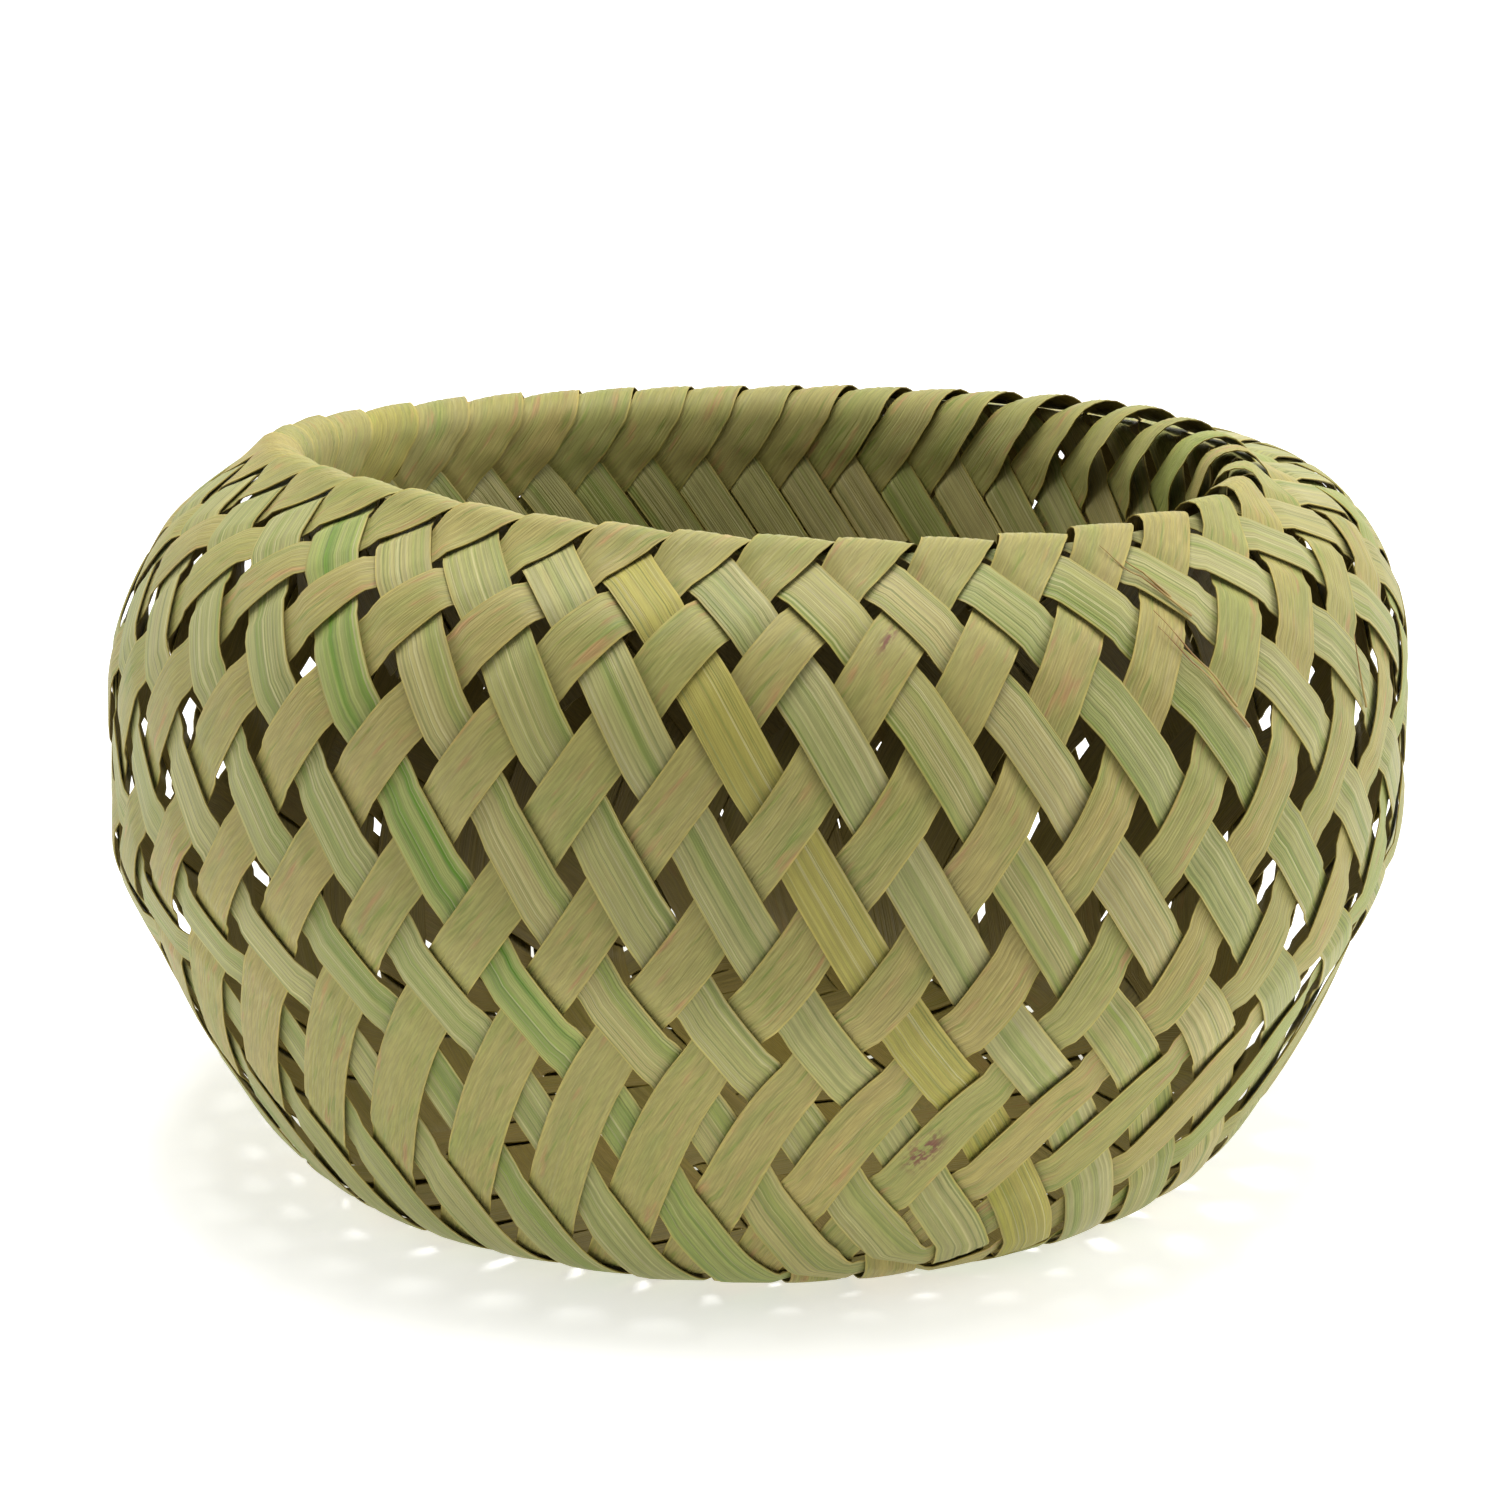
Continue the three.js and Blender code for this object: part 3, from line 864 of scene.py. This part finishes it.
# Mask, its strength on the ribbed lean, which is painted paler as sheen, and on the smooth lean,
# and its colour
SOFT_LAYERS = [
    ("warm", 0.9, 1.3, WARM_LEAF),
    ("cool", 1.2, 0.9, COOL_LEAF),
    ("clouds", 0.15, 0.6, CLOUD),
]
FINE_LAYERS = [
    ("lines", 0.55, 0.1, PALE_LINE),
    ("dark lines", 0.5, 0.15, DARK_LINE),
    ("green dashes", 0.1, 0.55, GREEN_DASH),
    ("marks", 0.1, 0.7, BROWN_MARK),
    ("blemish", 0.85, 0.85, BLEMISH),
    ("edge", 0.75, 0.75, DRY_EDGE),
    # Painted shade on the inner faces
    ("inner face", 0.85, 0.85, INNER_FACE_SHADE),
]
# On the smooth lean the streaks keep this share of their strength
SMOOTH_STREAKS = 0.2
# Mask, and how dark it makes the ribbed and the smooth lean, and then how light
SHADES = [("fibres", 0.78, 0.93), ("grain", 0.96, 0.84)]
LIGHTEST = 1.06


def leaf_colour(tree, masks, ribbed_with_sheen, smooth, streak, streak_strength):
    """The colour of a leaf strip: two leans, the ribbed one painted paler as sheen, layers of
    colour, and light and dark fibres.
    """
    # Painted sheen: the ribbed lean starts from a paler colour, which stands in for the light
    # catching that lean
    colour = add_node(tree, "ShaderNodeMix", {
        0: masks["lean"], 1: srgb(ribbed_with_sheen), 2: srgb(smooth)}, data_type="RGBA")
    streaks = ("streaks", streak_strength, streak_strength * SMOOTH_STREAKS, streak)
    for name, on_ribbed, on_smooth, code in [*SOFT_LAYERS, streaks, *FINE_LAYERS]:
        strength = add_node(tree, "ShaderNodeMapRange", {
            "Value": masks["lean"], "To Min": on_ribbed, "To Max": on_smooth})
        amount = add_node(tree, "ShaderNodeMath", {0: masks[name], 1: strength},
                          operation="MULTIPLY", use_clamp=True)
        colour = add_node(tree, "ShaderNodeMix", {0: amount, 1: colour, 2: srgb(code)},
                          data_type="RGBA")
    for name, on_ribbed, on_smooth in SHADES:
        darkest = add_node(tree, "ShaderNodeMapRange", {
            "Value": masks["lean"], "To Min": on_ribbed, "To Max": on_smooth})
        shade = add_node(tree, "ShaderNodeMapRange", {
            "Value": masks[name], "To Min": darkest, "To Max": LIGHTEST})
        grey = add_node(tree, "ShaderNodeCombineColor", {0: shade, 1: shade, 2: shade})
        colour = add_node(tree, "ShaderNodeMix", {0: 1.0, 1: colour, 2: grey},
                          data_type="RGBA", blend_type="MULTIPLY")
    return colour


print("layers of colour on a leaf:", len(SOFT_LAYERS) + 1 + len(FINE_LAYERS))

# %% [markdown]
# Dried leaf is matt with a weak sheen: its wax catches the light as a soft pale band where a
# strip bends, and never as a sharp highlight. So the roughness stays about a half, and the
# fibres make it vary. They also give a low relief, drawn a little deeper than the real ribs
# so that it shows. Three leaves make the basket: common, vivid green and yellowed.

# %% Leaf material
# The relief in mm, and how strongly it shades
FIBRE_DEPTH = 0.12
FIBRE_RELIEF = 0.4
# Between the fibres and on them
ROUGHNESS = (0.48, 0.62)
LEAF_SHEEN = 0.28


def leaf_material(name, ribbed_with_sheen, smooth, streak, streak_strength):
    """Split leaf. Its two leans have their own colour, the ribbed one paler as painted sheen, and
    streak is its greener lines.
    """
    material, tree = empty_material(name)
    masks = leaf_masks(tree)
    colour = leaf_colour(tree, masks, ribbed_with_sheen, smooth, streak, streak_strength)
    relief = add_node(tree, "ShaderNodeMath", {0: masks["fibres"], 1: masks["dark lines"]},
                      operation="SUBTRACT")
    normal = add_node(tree, "ShaderNodeBump", {
        "Height": relief, "Strength": FIBRE_RELIEF, "Distance": FIBRE_DEPTH * MM})
    rough = add_node(tree, "ShaderNodeMapRange", {
        "Value": masks["fibres"], "To Min": ROUGHNESS[0], "To Max": ROUGHNESS[1]})
    shader = add_node(tree, "ShaderNodeBsdfPrincipled", {
        "Base Color": colour, "Roughness": rough, "Normal": normal,
        "Specular IOR Level": LEAF_SHEEN})
    add_node(tree, "ShaderNodeOutputMaterial", {"Surface": shader})
    return material


# In each leaf the first colour, for the ribbed lean, is paler as painted sheen
# The common leaf has dried to a dusty olive, with few streaks left
leaf = leaf_material("matt_split_palm_leaf", "#aea672", "#a2965a", "#6e862e", 0.65)
# A younger leaf has kept the vivid green of its veins
green_leaf = leaf_material("young_green_palm_leaf", "#9ca45a", "#959c50", "#527c14", 1.0)
# In an older leaf the green has faded to a warm yellow all over
yellow_leaf = leaf_material("yellowed_palm_leaf", "#ab9d46", "#a39746", "#8c8c30", 0.5)
print("leaf materials:", leaf.name, green_leaf.name, yellow_leaf.name)

# %% [markdown]
# ## Build the basket
# Each strip is one mesh that stands for its strip in the frame. Two strips differ from the
# rest in the photograph: one is a vivid green, and one has gone yellow.

# %% Make the strips
SPECIAL_STRIPS = {"strip_across_03": green_leaf, "strip_along_12": yellow_leaf}
for name, ribbon in ribbons.items():
    piece = strip_mesh(name, ribbon)
    piece.data.materials.append(SPECIAL_STRIPS.get(name, leaf))
    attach(piece, "root")
    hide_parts(name)
print("strips made:", len(ribbons))

# %% [markdown]
# ## Split fibres
# Here and there a fibre has split off the edge of a strip and stands a little away from it.
# A displaced edge could fray the strip itself, but these are loose and thin as thread, so
# each is a thin bevelled curve. It starts flat on its strip, bows out and thins to its tip. A
# split fibre dries first, so it is straw coloured and dull, with browner stretches.

# %% Dry fibre material
STRAW = "#b39a5c"
BROWN_STRAW = "#8f6a38"
# Noise cells per metre, for browner stretches of about 4 mm
FIBRE_STRETCHES = 250
fibre_material, fibre_tree = empty_material("dry_leaf_fibre")
spot = add_node(fibre_tree, "ShaderNodeTexCoord", output="Object")
stretches = add_node(fibre_tree, "ShaderNodeTexNoise", {
    "Vector": spot, "Scale": FIBRE_STRETCHES, "Detail": 2.0})
dryness = add_node(fibre_tree, "ShaderNodeMapRange", {
    "Value": stretches, "From Min": 0.4, "From Max": 0.6}, output="Result")
colour = add_node(fibre_tree, "ShaderNodeMix", {
    0: dryness, 1: srgb(STRAW), 2: srgb(BROWN_STRAW)}, data_type="RGBA")
shader = add_node(fibre_tree, "ShaderNodeBsdfPrincipled", {
    "Base Color": colour, "Roughness": 0.6})
add_node(fibre_tree, "ShaderNodeOutputMaterial", {"Surface": shader})
print("fibre material:", fibre_material.name)

# %% [markdown]
# The places of a fibre's points are read off its strip's own grid, in mm along the strip and
# across it. So a fibre keeps to its strip over every bend.

# %% Fibres that have split off
FIBRE_RADIUS = 0.16
FIBRE_POINTS = 12
TIP_THINNING = 0.7
# Strip, mm along it at the start and the end, mm across it there, and how far it bows out
SPLIT_FIBRES = [
    ("strip_along_18", 136, 149, -3.0, -1.2, 1.0),
    ("strip_along_18", 139, 148, -2.2, 0.4, 0.7),
    ("strip_along_17", 124, 141, 2.9, 1.9, 1.1),
    ("strip_along_17", 127, 143, 3.2, 3.0, 1.6),
    ("strip_along_19", 103, 110, -3.0, 2.4, 1.0),
]


def on_ribbon(ribbon, length, across):
    """A place on the outer face of a strip, and the way out from it."""
    row = np.interp(length, ribbon["length"], np.arange(len(ribbon["length"])))
    k = min(int(row), len(ribbon["length"]) - 2)
    share = row - k
    section = ribbon["outer"][k] * (1 - share) + ribbon["outer"][k + 1] * share
    place = section[COLUMNS // 2]
    beside = section[-1] - section[0]
    out = np.cross(beside, ribbon["outer"][k + 1][0] - ribbon["outer"][k][0])
    return place + across * beside / np.linalg.norm(beside), out / np.linalg.norm(out)


def split_fibre(number, strip, start, end, beside, beside_end, bow):
    """One fibre as a bevelled curve that leaves its strip and bows out."""
    curve = bpy.data.curves.new(f"split_fibre_{number}", "CURVE")
    curve.dimensions = "3D"
    curve.bevel_depth = FIBRE_RADIUS * MM
    curve.use_fill_caps = True
    spline = curve.splines.new("POLY")
    spline.points.add(FIBRE_POINTS - 1)
    for k, share in enumerate(np.linspace(0, 1, FIBRE_POINTS)):
        point, out = on_ribbon(ribbons[strip], start + share * (end - start),
                               beside + share * (beside_end - beside))
        point = point + out * (FIBRE_RADIUS + bow * share ** 2)
        spline.points[k].co = (*((point + basket_shift) * MM), 1)
        spline.points[k].radius = 1 - TIP_THINNING * share
    fibre = bpy.data.objects.new(curve.name, curve)
    bpy.context.scene.collection.objects.link(fibre)
    fibre.data.materials.append(fibre_material)
    return fibre


for number, row in enumerate(SPLIT_FIBRES, 1):
    fibre = split_fibre(number, *row)
    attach(fibre, "root")
print("split fibres:", len(SPLIT_FIBRES))

# %% [markdown]
# ## Floor
# The photograph has no corner and no horizon: the basket stands on white. A matt white paper
# gives the eye an even ground with a soft shadow and no shine. It also glows like a light
# table, which lights the basket from below. Further out its glow rises until it is plain
# white, so the floor has no far edge in any view.

# %% Floor of white paper
# Half its width in metres
FLOOR_HALF = 1.3
FLOOR_GLOW = 0.55
# Between these distances from the basket, in metres, the glow rises to plain white
NEAR_FLOOR = 0.3
FAR_FLOOR = 0.9
WHITE_PAPER = "#f4f4f4"
floor_mesh = bpy.data.meshes.new("floor")
corners = [(x * FLOOR_HALF, y * FLOOR_HALF, 0) for x, y in ((-1, -1), (1, -1), (1, 1), (-1, 1))]
floor_mesh.from_pydata(corners, [], [(0, 1, 2, 3)])
floor = bpy.data.objects.new("floor", floor_mesh)
floor.location.z = cad_bounds[0][2]
bpy.context.scene.collection.objects.link(floor)
floor_material, floor_tree = empty_material("matt_white_paper")
paper = add_node(floor_tree, "ShaderNodeBsdfDiffuse", {"Color": srgb(WHITE_PAPER)})
spot = add_node(floor_tree, "ShaderNodeNewGeometry", output="Position")
distance = add_node(floor_tree, "ShaderNodeVectorMath", {0: spot}, output="Value",
                    operation="LENGTH")
glow = add_node(floor_tree, "ShaderNodeMapRange", {
    "Value": distance, "From Min": NEAR_FLOOR, "From Max": FAR_FLOOR,
    "To Min": FLOOR_GLOW, "To Max": 1.0}, output="Result")
glow = add_node(floor_tree, "ShaderNodeEmission", {"Strength": glow})
paper = add_node(floor_tree, "ShaderNodeAddShader", {0: paper, 1: glow})
add_node(floor_tree, "ShaderNodeOutputMaterial", {"Surface": paper})
floor_mesh.materials.append(floor_material)
print("floor at height", floor.location.z, "m, metres wide:", 2 * FLOOR_HALF)

# %% [markdown]
# ## Light
# The background is white where the camera sees it, directly or in a shiny or clear thing, and
# it gives the basket only a faint light from all round. The shape is lit by four soft square
# lamps: one at each side, with the right one stronger, one over the mouth that reaches the
# inner wall, and one behind. A small lamp would give hard shadows between the strips, and the
# photograph has soft ones, so the lamps are large and close.

# %% World
AMBIENT = 0.1
WHITE = (1, 1, 1, 1)
world = bpy.data.worlds.new("studio")
bpy.context.scene.world = world
world.use_nodes = True
world_tree = world.node_tree
world_tree.nodes.clear()
seen = 0.0
for ray in ("Is Camera Ray", "Is Glossy Ray", "Is Transmission Ray"):
    kind_of_ray = add_node(world_tree, "ShaderNodeLightPath", output=ray)
    seen = add_node(world_tree, "ShaderNodeMath", {0: kind_of_ray, 1: seen},
                    operation="MAXIMUM")
ambient = add_node(world_tree, "ShaderNodeBackground", {"Strength": AMBIENT, "Color": WHITE})
white = add_node(world_tree, "ShaderNodeBackground", {"Strength": 1.0, "Color": WHITE})
mixed = add_node(world_tree, "ShaderNodeMixShader", {0: seen, 1: ambient, 2: white})
add_node(world_tree, "ShaderNodeOutputWorld", {"Surface": mixed})
print("light from all round:", AMBIENT)

# %% Lamps
# Half way up the basket, in metres
LAMP_TARGET = np.array([0, 0, 0.05])
# Name, place and size in metres, and watts
LAMPS = [
    ("lamp_left", (-1.0, 0.15, 0.45), 0.9, 4),
    ("lamp_right", (1.05, 0.15, 0.5), 0.9, 8.5),
    ("lamp_above", (0, 0, 0.55), 0.4, 3.1),
    ("lamp_back", (0.2, 1.0, 0.6), 1.2, 3),
]


def soft_lamp(name, place, size, watts):
    """A square lamp that faces the middle of the basket."""
    lamp = bpy.data.lights.new(name, "AREA")
    lamp.size = size
    lamp.energy = watts
    lamp.color = (1, 1, 1)
    holder = bpy.data.objects.new(name, lamp)
    holder.location = place
    direction = LAMP_TARGET - np.array(place)
    yaw = math.atan2(direction[1], direction[0])
    pitch = math.atan2(direction[2], math.hypot(direction[0], direction[1]))
    holder.rotation_euler = (math.pi / 2 + pitch, 0, yaw - math.pi / 2)
    bpy.context.scene.collection.objects.link(holder)


for lamp in LAMPS:
    soft_lamp(*lamp)
print("lamps:", len(LAMPS))

# %% [markdown]
# ## Camera
# The camera looks slightly down at the front. It could be placed by eye. Its distance and
# angle come from fitting the basket's rows of crossings to the photograph instead, so that
# each strip can be compared with its place there.

# %% Camera
CAMERA_DISTANCE = 620
CAMERA_DOWN = math.radians(16.6)
CAMERA_TARGET = np.array([-0.83, 0.0, 51.05])
PIXELS_PER_MM = 7.7
IMAGE_PIXELS = 1500
SENSOR_WIDTH = 36
camera_data = bpy.data.cameras.new("camera")
camera_data.sensor_width = SENSOR_WIDTH
camera_data.lens = SENSOR_WIDTH * PIXELS_PER_MM * CAMERA_DISTANCE / IMAGE_PIXELS
camera = bpy.data.objects.new("camera", camera_data)
target = (CAMERA_TARGET + basket_shift) * MM
backwards = np.array([0, -math.cos(CAMERA_DOWN), math.sin(CAMERA_DOWN)])
camera.location = target + backwards * CAMERA_DISTANCE * MM
camera.rotation_euler = (math.pi / 2 - CAMERA_DOWN, 0, 0)
bpy.context.scene.collection.objects.link(camera)
bpy.context.scene.camera = camera
bpy.context.scene.view_settings.view_transform = "Standard"
print("camera at", [round(c, 3) for c in camera.location])
